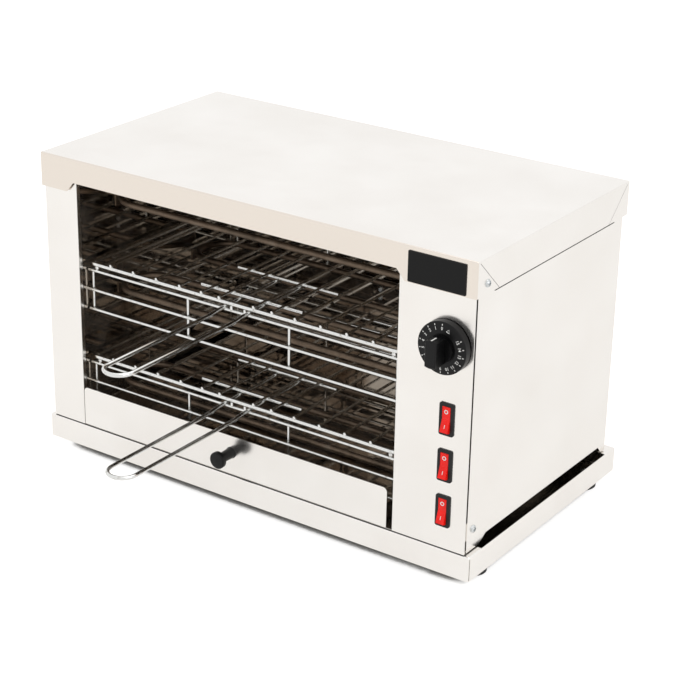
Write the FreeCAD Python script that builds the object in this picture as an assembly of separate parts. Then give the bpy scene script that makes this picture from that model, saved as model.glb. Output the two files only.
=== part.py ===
import FreeCAD
import Part
import math
import os

# Commercial toaster grill: folded steel case, two toast racks on wire guards, hairpin elements at three levels
# Millimetres: x to the right, y to the back from the lid's front face, z up from the base tray's lower edge
Vector = FreeCAD.Vector
cut_over = 1.0
same_place = 0.01
aligned = 0.99

# Sheet metal
sheet = 1.0
front_fold = 0.8
pan_sheet = 0.8
touch = 0.1
slip = 0.3
thread_gap = 0.05

# Case: half width, depth and height that the rest follows
body_half = 248.0
body_front = 3.0
body_back = 272.0
lid_top = 309.1
base_height = 25.0
body_bottom = base_height + sheet
body_top = lid_top - sheet - touch
floor_inset = 2.0
flange = 12.0
hem = 5.0
pillar_width = 41.0
control_width = 78.4
cavity_left = -body_half + pillar_width
cavity_right = body_half - control_width
cavity_mid = (cavity_left + cavity_right) / 2

# Base tray and feet
base_margin = 6.0
base_half = body_half + base_margin
base_front = 2.5
base_rear_margin = 13.3
base_back = body_back + base_rear_margin
base_fold = 2.0
base_side_return = 36.0
base_end_return = 12.0
base_seam_back = 4.3
base_seam_inset = 2.0
inlet_inset = 35.4
inlet_left = cavity_right + inlet_inset
inlet_front = 25.4
inlet_rear_margin = 8.0
inlet_back = body_back - inlet_rear_margin
foot_height = 12.0
foot_radius = 13.0
foot_foot_radius = 11.6
foot_edge = 1.0
foot_inset = 18.0
foot_x = base_half - foot_inset
foot_front_y = 44.0
foot_rear_inset = 28.3
foot_back_y = base_back - foot_rear_inset
foot_recess_radius = 6.0
foot_recess = 6.0
floor_screw_inset = 20.0
floor_screw_front = 50.0
floor_screw_rear_inset = 47.0

# Lid
lid_margin = 2.0
lid_half = body_half + lid_margin
lid_rear_margin = 6.0
lid_back = body_back + lid_rear_margin
lid_depth = 34.1
lid_bottom = lid_top - lid_depth
lid_fold = 1.2
notch_rise = 10.1
notch_height = lid_bottom + notch_rise
notch_left_spread = 10.0
notch_right_spread = 7.4
notch_edge = 1.4
ear_length = 37.7
ear_start = 1.4
ear_seam = 0.6
plate_width = 59.1
plate_height = 29.0
plate_inset = 10.6
plate_right = lid_half - plate_inset
plate_left = plate_right - plate_width
plate_rise = 1.0
plate_bottom = lid_bottom + plate_rise
plate_top = plate_bottom + plate_height
plate_thick = 0.8
plate_corner = 1.0
spacer_radius = 5.0
lid_spacer_inset = 108.0
lid_spacer_x = body_half - lid_spacer_inset
lid_spacer_drop = 17.1
lid_spacer_z = lid_top - lid_spacer_drop

# Cavity
wall_front = 8.6
cavity_rear_margin = 3.4
cavity_back = body_back - cavity_rear_margin
ceiling_drop = 18.0
ceiling_under = body_top - ceiling_drop
wall_flange = 14.0
header_height = 10.0
stiffener_width = 20.0
stiffener_offset = 5.3
stiffener_x = cavity_mid - stiffener_offset
stiffener_bottom = body_bottom + wall_flange
stiffener_top = ceiling_under - header_height
wall_screw_level = 130.0
wall_screw_pitch = 9.4

# Right side panel
side_front = 6.5
side_bottom = body_bottom + slip
vent_front = 27.4
vent_rear_margin = 7.5
vent_back = body_back - vent_rear_margin
vent_height = 7.2
vent_slope = 13.0
vent_slope_back = 7.0
tab_width = 18.0
tab_leg = 22.0
tab_foot = 15.0
side_screw_y = 16.9
side_screw_rise = 21.2
ear_screw_y = 17.7
ear_screw_drop = 24.0

# Back panel
louvre_width = 40.0
louvre_inset = 20.0
louvre_height = 4.0
louvre_pitch = 10.0
louvre_count = 8
louvre_drop = 48.0
panel_screw_inset = 24.0
panel_screw_drop = 58.0

# Supply entry
block_gap = 2.9
block_x = cavity_right + block_gap
block_width = 32.0
block_rear_margin = 36.0
block_front = body_back - block_rear_margin
block_depth = 22.0
block_height = 18.0
pole_pitch = 10.0
pole_count = 3
pole_inset = 6.0
pole_screw_inset = 5.0
pole_screw_depth = 6.0
pole_mouth_radius = 2.0
pole_mouth_height = 8.0
gland_inset = 36.0
gland_x = body_half - gland_inset
gland_rise = 36.0
gland_z = body_bottom + gland_rise
gland_barrel = 9.0
gland_bore = 4.5
gland_hex = 24.0
gland_hex_height = 5.0
gland_dome = 10.0
gland_dome_shoulder = 2.0
gland_outer = 12.0
gland_inner = 10.0
gland_dome_end = body_back + gland_outer
gland_inner_end = body_back - gland_inner
gland_nut_height = 4.0

# Crumb tray
tray_left_gap = 1.0
tray_right_gap = 6.1
tray_left = cavity_left + tray_left_gap
tray_right = cavity_right - tray_right_gap
tray_lift = 0.7
tray_bottom = body_bottom + tray_lift
tray_height = 40.7
tray_top = tray_bottom + tray_height
tray_corner = 4.5
pan_inset = 7.0
pan_left = tray_left + pan_inset
pan_right = tray_right - pan_inset
pan_rear_gap = 6.6
pan_back = cavity_back - pan_rear_gap
pan_wall = 17.5
pan_corner = 3.0
tray_knob_offset = 1.2
tray_knob_x = cavity_mid + tray_knob_offset
tray_knob_rise = 22.8
tray_knob_z = tray_bottom + tray_knob_rise
tray_knob_neck = 5.4
tray_knob_neck_flare = 0.6
tray_knob_neck_taper = 0.5
tray_knob_head = 8.5
tray_knob_head_y = -14.0
tray_knob_head_root = 2.0
tray_knob_front = -20.0
tray_knob_edge = 1.2
tray_knob_crown = 0.4
rivet_radius = 2.0
rivet_head = 3.4
rivet_head_height = 1.0
rivet_inset = 28.0
rivet_count = 4
rivet_rise = 11.3
rivet_z = tray_bottom + rivet_rise
guide_width = 10.0
guide_front = 12.0

# Wire guards
guard_wire = 1.5
guard_front = 16.0
guard_rear_gap = 13.6
guard_back = cavity_back - guard_rear_gap
guard_rise = 165.8
guard_top = body_bottom + guard_rise
guard_pitch = 20.8
level_drop = 100.4
guard_end_gap = 1.5
guard_reach = 2.4
post_left_gap = 4.5
post_right_gap = 8.6
post_count = 4
wire_embed = 0.15
weld_touch = 0.01
rail_radius = 2.0
rail_inset = 11.8
rail_end_gap = 2.2

# Toast racks
rack_rod = 2.0
rack_side_gap = 5.8
rack_half = (cavity_right - cavity_left) / 2 - rack_side_gap
rack_front = 15.0
rack_rear_gap = 5.1
rack_back = cavity_back - rack_rear_gap
rack_corner = 5.0
rack_ride = 0.05
rack_z = guard_top + guard_wire + 2 * rail_radius - weld_touch + rack_ride + rack_rod
rack_wire = 1.4
rack_wire_overhang = 2.0
rack_wire_first = 20.5
rack_wire_second = 42.0
rack_wire_third = 68.8
rack_wire_edge = 26.5
rack_outer_count = 4
short_rod_half = 60.5
short_rod_front = 38.0
short_rod_pitch = 58.0
handle_wire = 2.0
handle_offset = 1.4
handle_centre = cavity_mid + handle_offset
handle_half = 14.2
handle_end_y = -153.5
handle_root = 5.0
handle_root_y = short_rod_front + short_rod_pitch + handle_root
handle_step_back = 5.0
handle_step_front = -13.0
handle_step = 1.6
stub_radius = 1.5
stub_offset = 8.0
stub_length = 3.8

# Heating elements
tube = 3.25
bend_radius = 28.5
loop_gap = 40.5
loop_x = cavity_left + loop_gap
top_element_drop = 29.0
middle_element_drop = 23.8
lower_element_drop = 23.1
element_front = 66.5
element_rear_gap = 83.1
element_overrun = 20.4
element_end = cavity_right + element_overrun
collar_radius = 4.2
collar_length = 5.0
pin_radius = 1.8
pin_length = 12.0
bush_head = 6.8
bush_head_length = 2.4
bush_barrel = 4.5
bush_nut = 13.0
bush_nut_length = 4.0
clip_half = 7.0
clip_drop = 12.0
clip_reach = 16.0

# Control panel
timer_inset = 27.4
timer_x = body_half - timer_inset
panel_middle = (body_bottom + body_top) / 2
timer_rise = 57.7
timer_z = panel_middle + timer_rise
skirt_radius = 24.8
skirt_wall = 2.0
skirt_rear = 1.9
skirt_rim = -4.8
skirt_bevel = 0.7
knob_sleeve = 2.5
knob_sleeve_gap = 0.4
face_inner = 14.5
face_inner_y = -6.6
hub_radius = 13.0
hub_front = -9.7
grip_width = 11.4
grip_front = -24.3
grip_edge = 1.2
shaft_radius = 3.0
shaft_flat = 1.9
shaft_front = -18.0
shaft_rear = 16.0
shaft_round_from = 0.0
timer_half = 23.0
timer_depth = 28.0
timer_corner = 3.0
timer_boss = 5.0
timer_boss_front = 2.2
timer_screw_offset = 14.0
switch_inset = 23.9
switch_x = body_half - switch_inset
switch_drop = 12.2
switch_pitch = 45.45
bezel_width = 15.2
bezel_height = 31.5
bezel_front = 1.4
bezel_corner = 2.0
bezel_edge = 0.5
cutout_width = 13.2
cutout_height = 28.6
housing_depth = 24.0
rocker_width = 8.1
rocker_half = 12.0
rocker_dip = 1.5
rocker_tilt = 9.5
rocker_back = 3.0
rocker_proud = 0.2
pocket_side = 0.3
pocket_end = 0.25
pocket_floor = 5.4
pin_axle = 0.8
pin_axle_reach = 1.4
pin_axle_gap = 0.05
tab_pitch = 8.0
tab_length = 8.0
tab_half_width = 2.4
tab_half_thick = 0.4

# Screws
m3 = 1.5
m4 = 2.0
m5 = 2.5
m4_head = 3.9
m4_head_height = 2.3
m3_head = 3.0
m3_head_height = 1.8
flat_head = 2.7
flat_head_height = 0.9
m5_head = 4.6
m5_head_height = 3.0
shank_chamfer = 0.4
head_dome = 0.45
head_crown = 0.55
head_crown_height = 0.93
head_shoulder = 0.88
m5_nut = 8.0
m5_nut_height = 4.0
m4_nut = 7.0
m4_nut_height = 3.2
side_screw_length = 9.0
lid_screw_length = 11.0
rear_screw_length = 8.0
back_screw_length = 8.0
wall_screw_length = 2.2
timer_screw_length = 8.0
block_screw_length = 5.0
knob_screw_reach = 12.0
recess_arm = 2.4
recess_slot = 0.75
recess_depth = 1.1


def box(x0, x1, y0, y1, z0, z1):
    return Part.makeBox(x1 - x0, y1 - y0, z1 - z0, Vector(x0, y0, z0))


def rod(start, end, radius):
    line = Vector(*end) - Vector(*start)
    return Part.makeCylinder(radius, line.Length, Vector(*start), line)


def prism(points, along):
    corners = [Vector(*point) for point in points]
    face = Part.Face(Part.makePolygon(corners + corners[:1]))
    return face.extrude(Vector(*along))


def turned(outline, centre, direction):
    # The outline is (radius, distance along the axis) from point to point round one half section
    corners = [Vector(radius, 0, along) for radius, along in outline]
    face = Part.Face(Part.makePolygon(corners + corners[:1]))
    solid = face.revolve(Vector(0, 0, 0), Vector(0, 0, 1), 360)
    return aimed(solid, centre, direction)


def aimed(solid, centre, direction):
    turn = FreeCAD.Rotation(Vector(0, 0, 1), Vector(*direction))
    solid.Placement = FreeCAD.Placement(Vector(*centre), turn)
    return solid


def hexagon(across, height, centre, direction, bore):
    corner = across / math.sqrt(3)
    points = []
    for side in range(6):
        angle = math.radians(60 * side)
        points.append((corner * math.cos(angle), corner * math.sin(angle), 0))
    nut = prism(points, (0, 0, height))
    nut = nut.cut(rod((0, 0, -cut_over), (0, 0, height + cut_over), bore))
    return aimed(nut, centre, direction)


def screw(under_head, direction, shank, length, head, head_height, recessed=True):
    # A domed head behind the seat, and the shank in the given direction
    outline = [(0, -head_height), (head * head_crown, -head_height * head_crown_height)]
    outline += [(head * head_shoulder, -head_height * head_dome), (head, 0), (shank, 0)]
    outline += [(shank, length - shank_chamfer), (shank - shank_chamfer, length), (0, length)]
    corners = [Vector(radius, 0, along) for radius, along in outline]
    face = Part.Face(Part.makePolygon(corners + corners[:1]))
    solid = face.revolve(Vector(0, 0, 0), Vector(0, 0, 1), 360)
    if recessed:
        arm = recess_arm * head / m4_head
        slot = recess_slot
        top = -head_height - cut_over
        bottom = -head_height + recess_depth
        solid = solid.cut(box(-arm, arm, -slot, slot, top, bottom))
        solid = solid.cut(box(-slot, slot, -arm, arm, top, bottom))
    return aimed(solid, under_head, direction)


def hole(solid, start, end, radius):
    return solid.cut(rod(start, end, radius))


def fold(solid, radius, chosen):
    edges = [edge for edge in solid.Edges if chosen(edge)]
    return solid.makeFillet(radius, edges)


def vertical(edge):
    ends = [vertex.Point for vertex in edge.Vertexes]
    return len(ends) == 2 and math.hypot(ends[0].x - ends[1].x, ends[0].y - ends[1].y) < same_place


def along_depth(edge):
    return abs(edge.tangentAt(edge.FirstParameter).y) > aligned


def at_height(height):
    def chosen(edge):
        return all(abs(vertex.Z - height) < same_place for vertex in edge.Vertexes)
    return chosen


def at_depth(depth):
    def chosen(edge):
        return all(abs(vertex.Y - depth) < same_place for vertex in edge.Vertexes)
    return chosen


def on_line(places):
    def chosen(edge):
        if not vertical(edge):
            return False
        point = edge.Vertexes[0].Point
        return any(math.hypot(point.x - x, point.y - y) < same_place for x, y in places)
    return chosen


def swept(edges, start, heading, radius):
    ring = Part.Wire(Part.makeCircle(radius, Vector(*start), Vector(*heading)))
    path = Part.Wire(edges)
    return path.makePipeShell([ring], True, False)


def arc(first, middle, last):
    return Part.Arc(Vector(*first), Vector(*middle), Vector(*last)).toShape()


def line(first, last):
    return Part.makeLine(Vector(*first), Vector(*last))


nodes = {}

# Base tray: one folded sheet, open below, with returns that carry the feet and an air inlet at the right
outer = box(-base_half, base_half, base_front, base_back, 0, base_height)
outer = fold(outer, base_fold, lambda edge: vertical(edge) or at_height(base_height)(edge))
inner = box(-base_half + sheet, base_half - sheet, base_front + sheet, base_back - sheet, sheet,
            base_height - sheet)
inner = fold(inner, base_fold - sheet, lambda edge: vertical(edge) or at_height(base_height - sheet)(edge))
base_tray = outer.cut(inner)
well_half = base_half - base_side_return
well_front = base_front + base_end_return
well_back = base_back - base_end_return
base_tray = base_tray.cut(box(-well_half, well_half, well_front, well_back, -cut_over, sheet + cut_over))
inlet = box(inlet_left, base_half - sheet, inlet_front, inlet_back, base_height - sheet - cut_over,
            base_height + cut_over)
base_tray = base_tray.cut(inlet)
for side in (-1, 1):
    seam_inner = side * (base_half - sheet - touch)
    seam_outer = side * (base_half + cut_over)
    seam = box(min(seam_inner, seam_outer), max(seam_inner, seam_outer), base_front + sheet, base_seam_back,
               sheet + touch, base_height - base_seam_inset)
    base_tray = base_tray.cut(seam)
foot_places = [(side * foot_x, y) for side in (-1, 1) for y in (foot_front_y, foot_back_y)]
for x, y in foot_places:
    base_tray = hole(base_tray, (x, y, -cut_over), (x, y, sheet + cut_over), m5 + thread_gap)

# Rubber feet, tapered, with a recess for the screw head
foot_seat = -foot_height + foot_recess
foot_outline = [(m5 + thread_gap, 0), (foot_radius, 0), (foot_foot_radius, -foot_height + foot_edge)]
foot_outline += [(foot_foot_radius - foot_edge, -foot_height), (foot_recess_radius, -foot_height)]
foot_outline += [(foot_recess_radius, foot_seat), (m5 + thread_gap, foot_seat)]
feet = [turned(foot_outline, (x, y, 0), (0, 0, 1)) for x, y in foot_places]
foot_screw_length = -foot_seat + sheet + m5_nut_height + cut_over
foot_screws = []
foot_nuts = []
for x, y in foot_places:
    foot_screws.append(screw((x, y, foot_seat), (0, 0, 1), m5, foot_screw_length, m5_head, m5_head_height,
                             False))
    foot_nuts.append(hexagon(m5_nut, m5_nut_height, (x, y, sheet), (0, 0, 1), m5 + thread_gap))

# Case floor on the deck, with the same air inlet
body_floor = box(-body_half + floor_inset, body_half - floor_inset, body_front + floor_inset,
                 body_back - floor_inset, base_height, body_bottom)
body_floor = body_floor.cut(box(inlet_left, body_half, inlet_front, inlet_back, base_height - cut_over,
                                body_bottom + cut_over))
floor_places = []
for x in (floor_screw_inset - body_half, cavity_right + floor_screw_inset):
    for y in (floor_screw_front, body_back - floor_screw_rear_inset):
        floor_places.append((x, y))
deck_under = base_height - sheet
floor_screw_length = body_bottom - deck_under + m4_nut_height + cut_over
floor_screws = []
floor_nuts = []
for x, y in floor_places:
    base_tray = hole(base_tray, (x, y, deck_under - cut_over), (x, y, base_height + cut_over),
                     m4 + thread_gap)
    body_floor = hole(body_floor, (x, y, deck_under), (x, y, body_bottom + cut_over), m4 + thread_gap)
    floor_screws.append(screw((x, y, deck_under), (0, 0, 1), m4, floor_screw_length, m4_head, m4_head_height,
                              False))
    floor_nuts.append(hexagon(m4_nut, m4_nut_height, (x, y, body_bottom), (0, 0, 1), m4 + thread_gap))

# Left side: pillar, side and rear return in one folded sheet
left_profile = [(cavity_left, body_front), (-body_half, body_front), (-body_half, body_back - sheet)]
left_profile += [(-body_half + flange, body_back - sheet), (-body_half + flange, body_back - 2 * sheet)]
left_profile += [(-body_half + sheet, body_back - 2 * sheet), (-body_half + sheet, body_front + sheet)]
left_profile += [(cavity_left - sheet, body_front + sheet), (cavity_left - sheet, body_front + hem)]
left_profile += [(cavity_left, body_front + hem)]
left_side_panel = prism([(x, y, body_bottom) for x, y in left_profile], (0, 0, body_top - body_bottom))
left_edges = [(-body_half, body_front), (cavity_left, body_front)]
left_side_panel = fold(left_side_panel, front_fold, on_line(left_edges))

# Control panel: front sheet with hemmed edges, top and bottom returns
control_panel = box(cavity_right, body_half, body_front, body_front + sheet, body_bottom, body_top)
control_panel = control_panel.fuse(box(cavity_right, cavity_right + sheet, body_front, body_front + hem,
                                       body_bottom, body_top))
control_panel = control_panel.fuse(box(cavity_right, body_half - floor_inset, body_front, body_front + flange,
                                       body_bottom, body_bottom + sheet))
control_panel = control_panel.fuse(box(cavity_right, body_half - floor_inset, body_front, body_front + flange,
                                       body_top - sheet, body_top)).removeSplitter()
control_panel = fold(control_panel, front_fold, on_line([(cavity_right, body_front)]))
panel_through = (body_front - cut_over, body_front + sheet + cut_over)
control_panel = hole(control_panel, (timer_x, panel_through[0], timer_z),
                     (timer_x, panel_through[1], timer_z), timer_boss + touch)
timer_screw_places = [(timer_x + side * timer_screw_offset, timer_z) for side in (-1, 1)]
for x, z in timer_screw_places:
    control_panel = hole(control_panel, (x, panel_through[0], z), (x, panel_through[1], z), m3 + thread_gap)
switch_names = ("top", "middle", "bottom")
switch_levels = [panel_middle - switch_drop - number * switch_pitch for number in range(len(switch_names))]
for z in switch_levels:
    half_width = cutout_width / 2 + touch
    half_height = cutout_height / 2 + touch
    control_panel = control_panel.cut(box(switch_x - half_width, switch_x + half_width, panel_through[0],
                                          panel_through[1], z - half_height, z + half_height))

# Right side panel, screwed on, with the air notch along its foot
side_inner = body_half - sheet
right_side_panel = box(side_inner, body_half, side_front, body_back - sheet, side_bottom, body_top)
right_side_panel = right_side_panel.fuse(box(body_half - flange, body_half, body_back - 2 * sheet,
                                             body_back - sheet, side_bottom, body_top)).removeSplitter()
vent_top = side_bottom + vent_height
notch = [(vent_front, side_bottom - cut_over), (vent_front + vent_slope, vent_top)]
notch += [(vent_back - vent_slope_back, vent_top), (vent_back, side_bottom - cut_over)]
right_side_panel = right_side_panel.cut(prism([(side_inner - cut_over, y, z) for y, z in notch],
                                              (sheet + 2 * cut_over, 0, 0)))
side_screw_z = body_bottom + side_screw_rise
ear_screw_z = lid_top - ear_screw_drop
side_screw_places = [(side_screw_y, side_screw_z), (ear_screw_y, ear_screw_z)]
side_panel_tabs = []
tab_back = body_front + sheet
for y, z in side_screw_places:
    low = z - tab_width / 2
    high = z + tab_width / 2
    leg_outer = side_inner - touch
    leg = box(leg_outer - sheet, leg_outer, tab_back, tab_back + tab_leg, low, high)
    foot = box(leg_outer - tab_foot, leg_outer, tab_back, tab_back + sheet, low, high)
    tab = leg.fuse(foot).removeSplitter()
    tab = hole(tab, (leg_outer - sheet - cut_over, y, z), (body_half, y, z), m4 + thread_gap)
    side_panel_tabs.append(tab)
    right_side_panel = hole(right_side_panel, (side_inner - cut_over, y, z), (body_half + cut_over, y, z),
                            m4 + thread_gap)
side_panel_screw = screw((body_half, side_screw_y, side_screw_z), (-1, 0, 0), m4, side_screw_length, m4_head,
                         m4_head_height)

# Back panel with louvres behind the controls and the cable entry
back_panel = box(-body_half, body_half, body_back - sheet, body_back, body_bottom, body_top)
louvre_left = body_half - louvre_inset - louvre_width
for row in range(louvre_count):
    low = body_top - louvre_drop - row * louvre_pitch
    slot = box(louvre_left, louvre_left + louvre_width, body_back - sheet - cut_over, body_back + cut_over,
               low, low + louvre_height)
    back_panel = back_panel.cut(fold(slot, louvre_height / 2 - touch, along_depth))
panel_low = body_bottom + panel_screw_inset
panel_high = body_top - panel_screw_drop
panel_screw_levels = (panel_low, (panel_low + panel_high) / 2, panel_high)
back_screw_places = [(side * (body_half - flange / 2), z) for side in (-1, 1) for z in panel_screw_levels]
back_panel_screws = []
through_back = (body_back - 2 * sheet - cut_over, body_back + cut_over)
for x, z in back_screw_places:
    back_panel = hole(back_panel, (x, through_back[0], z), (x, through_back[1], z), m3 + thread_gap)
    cutter = rod((x, through_back[0], z), (x, through_back[1], z), m3 + thread_gap)
    if x < 0:
        left_side_panel = left_side_panel.cut(cutter)
    else:
        right_side_panel = right_side_panel.cut(cutter)
    back_panel_screws.append(screw((x, body_back, z), (0, -1, 0), m3, back_screw_length, m3_head,
                                   m3_head_height))

# Lid: one folded sheet whose front and back flanges wrap the corners as triangular ears
outer = box(-lid_half, lid_half, 0, lid_back, lid_bottom, lid_top)
outer = fold(outer, lid_fold, lambda edge: vertical(edge) or at_height(lid_top)(edge))
inner = box(-lid_half + sheet, lid_half - sheet, sheet, lid_back - sheet, lid_bottom - cut_over,
            lid_top - sheet)
inner = fold(inner, lid_fold - sheet, lambda edge: vertical(edge) or at_height(lid_top - sheet)(edge))
lid = outer.cut(inner)
notch = [(cavity_left - notch_left_spread, lid_bottom - touch), (cavity_left - notch_edge, notch_height)]
notch += [(cavity_right - notch_edge, notch_height), (cavity_right + notch_right_spread, lid_bottom - touch)]
lid = lid.cut(prism([(x, -cut_over, z) for x, z in notch], (0, sheet + 2 * cut_over, 0)))
ear_slope = (lid_top - lid_bottom) / (ear_length - ear_start)
seam_top = lid_top - sheet - lid_fold
seam_top_y = ear_start + (lid_top - seam_top) / ear_slope
for side in (-1, 1):
    for mirror in (False, True):
        seam = [(seam_top_y, seam_top), (seam_top_y + ear_seam, seam_top)]
        seam += [(ear_length + ear_seam, lid_bottom - touch), (ear_length, lid_bottom - touch)]
        if mirror:
            seam = [(lid_back - y, z) for y, z in seam]
        start = side * (lid_half - sheet - touch)
        reach = side * (sheet + 2 * touch)
        lid = lid.cut(prism([(start, y, z) for y, z in seam], (reach, 0, 0)))
lid_screws = []
for side in (-1, 1):
    cutter = rod((side * (lid_half - sheet - cut_over), ear_screw_y, ear_screw_z),
                 (side * (lid_half + cut_over), ear_screw_y, ear_screw_z), m4 + thread_gap)
    lid = lid.cut(cutter)
    lid_screws.append(screw((side * lid_half, ear_screw_y, ear_screw_z), (-side, 0, 0), m4, lid_screw_length,
                            m4_head, m4_head_height))
left_side_panel = hole(left_side_panel, (-body_half - cut_over, ear_screw_y, ear_screw_z),
                       (-body_half + sheet + cut_over, ear_screw_y, ear_screw_z), m4 + thread_gap)
lid_spacers = []
for x in (-lid_spacer_x, lid_spacer_x):
    lid = hole(lid, (x, lid_back - sheet - cut_over, lid_spacer_z), (x, lid_back + cut_over, lid_spacer_z),
               m4 + thread_gap)
    back_panel = hole(back_panel, (x, through_back[0], lid_spacer_z), (x, through_back[1], lid_spacer_z),
                      m4 + thread_gap)
    spacer = rod((x, body_back, lid_spacer_z), (x, lid_back - sheet, lid_spacer_z), spacer_radius)
    lid_spacers.append(hole(spacer, (x, body_back - cut_over, lid_spacer_z), (x, lid_back, lid_spacer_z),
                            m4 + thread_gap))
    lid_screws.append(screw((x, lid_back, lid_spacer_z), (0, -1, 0), m4, rear_screw_length, m4_head,
                            m4_head_height))
lid_plate = box(plate_left, plate_right, -plate_thick, 0, plate_bottom, plate_top)
lid_plate = fold(lid_plate, plate_corner, along_depth)

# Cavity liner: two side walls with flanges, back wall, ceiling with a header
wall_top = body_top - sheet
cavity_left_wall = box(cavity_left - sheet, cavity_left, wall_front, cavity_back, body_bottom, wall_top)
for y in (wall_front, cavity_back - sheet):
    cavity_left_wall = cavity_left_wall.fuse(box(cavity_left - wall_flange, cavity_left, y, y + sheet,
                                                 body_bottom, wall_top))
cavity_left_wall = cavity_left_wall.removeSplitter()
partition_low = body_bottom + sheet + touch
partition_high = wall_top - sheet
cavity_right_wall = box(cavity_right, cavity_right + sheet, wall_front, cavity_back, partition_low,
                        partition_high)
for y in (wall_front, cavity_back - sheet):
    cavity_right_wall = cavity_right_wall.fuse(box(cavity_right, cavity_right + wall_flange, y, y + sheet,
                                                   partition_low, partition_high))
cavity_right_wall = cavity_right_wall.removeSplitter()
cavity_back_wall = box(cavity_left - wall_flange, cavity_right + wall_flange, cavity_back,
                       cavity_back + pan_sheet, body_bottom, ceiling_under + header_height)
ceiling_left = cavity_left + touch
ceiling_right = cavity_right - touch
ceiling_back = cavity_back - touch
cavity_ceiling = box(ceiling_left, ceiling_right, wall_front, ceiling_back, ceiling_under,
                     ceiling_under + sheet)
cavity_ceiling = cavity_ceiling.fuse(box(ceiling_left, ceiling_right, wall_front, wall_front + sheet,
                                         ceiling_under, ceiling_under + header_height))
cavity_ceiling = cavity_ceiling.fuse(box(ceiling_left, ceiling_right, ceiling_back - sheet, ceiling_back,
                                         ceiling_under, ceiling_under + header_height)).removeSplitter()
stiffener_mid = cavity_back + pan_sheet
back_stiffener = box(stiffener_x - stiffener_width / 2, stiffener_x + stiffener_width / 2, stiffener_mid,
                     body_back - sheet, stiffener_bottom, stiffener_top)
back_wall_screws = []
for z in (wall_screw_level - wall_screw_pitch / 2, wall_screw_level + wall_screw_pitch / 2):
    through = ((stiffener_x, cavity_back - cut_over, z), (stiffener_x, body_back, z))
    cavity_back_wall = hole(cavity_back_wall, through[0], through[1], m3 + thread_gap)
    back_stiffener = hole(back_stiffener, through[0], through[1], m3 + thread_gap)
    back_wall_screws.append(screw((stiffener_x, cavity_back, z), (0, 1, 0), m3, wall_screw_length, m3_head,
                                  m3_head_height))

# Crumb tray: front plate with a foot flange, folded pan, rivets, turned knob
tray_face = box(tray_left, tray_right, body_front, body_front + sheet, tray_bottom, tray_top)
tray_face = fold(tray_face, tray_corner, lambda edge: along_depth(edge) and at_height(tray_top)(edge))
crumb_tray_front = tray_face.fuse(box(pan_left, pan_right, body_front + sheet - touch, body_front + flange,
                                      tray_bottom, tray_bottom + sheet)).removeSplitter()
pan_floor = tray_bottom + sheet
pan_front = body_front + sheet
outer = box(pan_left, pan_right, pan_front, pan_back, pan_floor, pan_floor + pan_wall)
outer = fold(outer, pan_corner, vertical)
inner = box(pan_left + pan_sheet, pan_right - pan_sheet, pan_front + pan_sheet, pan_back - pan_sheet,
            pan_floor + pan_sheet, pan_floor + pan_wall + cut_over)
inner = fold(inner, pan_corner - pan_sheet, vertical)
crumb_tray_pan = outer.cut(inner)
crumb_tray_rivets = []
rivet_pitch = (pan_right - pan_left - 2 * rivet_inset) / (rivet_count - 1)
for number in range(rivet_count):
    x = pan_left + rivet_inset + number * rivet_pitch
    start = (x, body_front - cut_over, rivet_z)
    end = (x, pan_front + pan_sheet + cut_over, rivet_z)
    crumb_tray_pan = hole(crumb_tray_pan, start, end, rivet_radius + thread_gap)
    crumb_tray_front = hole(crumb_tray_front, (x, body_front + sheet / 2, rivet_z), end,
                            rivet_radius + thread_gap)
    inside = pan_front + pan_sheet
    outline = [(0, rivet_head_height), (rivet_radius, rivet_head_height), (rivet_head, 0), (rivet_radius, 0)]
    outline += [(rivet_radius, -pan_sheet - sheet / 2 + touch), (0, -pan_sheet - sheet / 2 + touch)]
    crumb_tray_rivets.append(turned(outline, (x, inside, rivet_z), (0, 1, 0)))
outline = [(m4 + thread_gap, body_front), (tray_knob_neck + tray_knob_neck_flare, body_front)]
outline += [(tray_knob_neck, body_front - tray_knob_edge)]
outline += [(tray_knob_neck - tray_knob_neck_taper, tray_knob_head_y + tray_knob_head_root)]
head_inner = tray_knob_head - tray_knob_edge
outline += [(head_inner, tray_knob_head_y), (tray_knob_head, tray_knob_head_y - tray_knob_edge)]
outline += [(tray_knob_head, tray_knob_front + tray_knob_edge), (head_inner, tray_knob_front)]
outline += [(0, tray_knob_front - tray_knob_crown), (0, body_front - knob_screw_reach)]
outline += [(m4 + thread_gap, body_front - knob_screw_reach)]
crumb_tray_knob = turned(outline, (tray_knob_x, 0, tray_knob_z), (0, 1, 0))
crumb_tray_front = hole(crumb_tray_front, (tray_knob_x, body_front - cut_over, tray_knob_z),
                        (tray_knob_x, body_front + sheet + cut_over, tray_knob_z), m4 + thread_gap)
knob_screw_length = knob_screw_reach - cut_over
crumb_tray_knob_screw = screw((tray_knob_x, body_front + sheet, tray_knob_z), (0, -1, 0), m4,
                              knob_screw_length, m4_head, m4_head_height, False)
guide_top = pan_floor - slip
tray_guides = []
for x in (pan_left + guide_width, pan_right - 2 * guide_width):
    tray_guides.append(box(x, x + guide_width, body_front + flange + guide_front, pan_back - guide_front,
                           body_bottom, guide_top))


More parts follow.
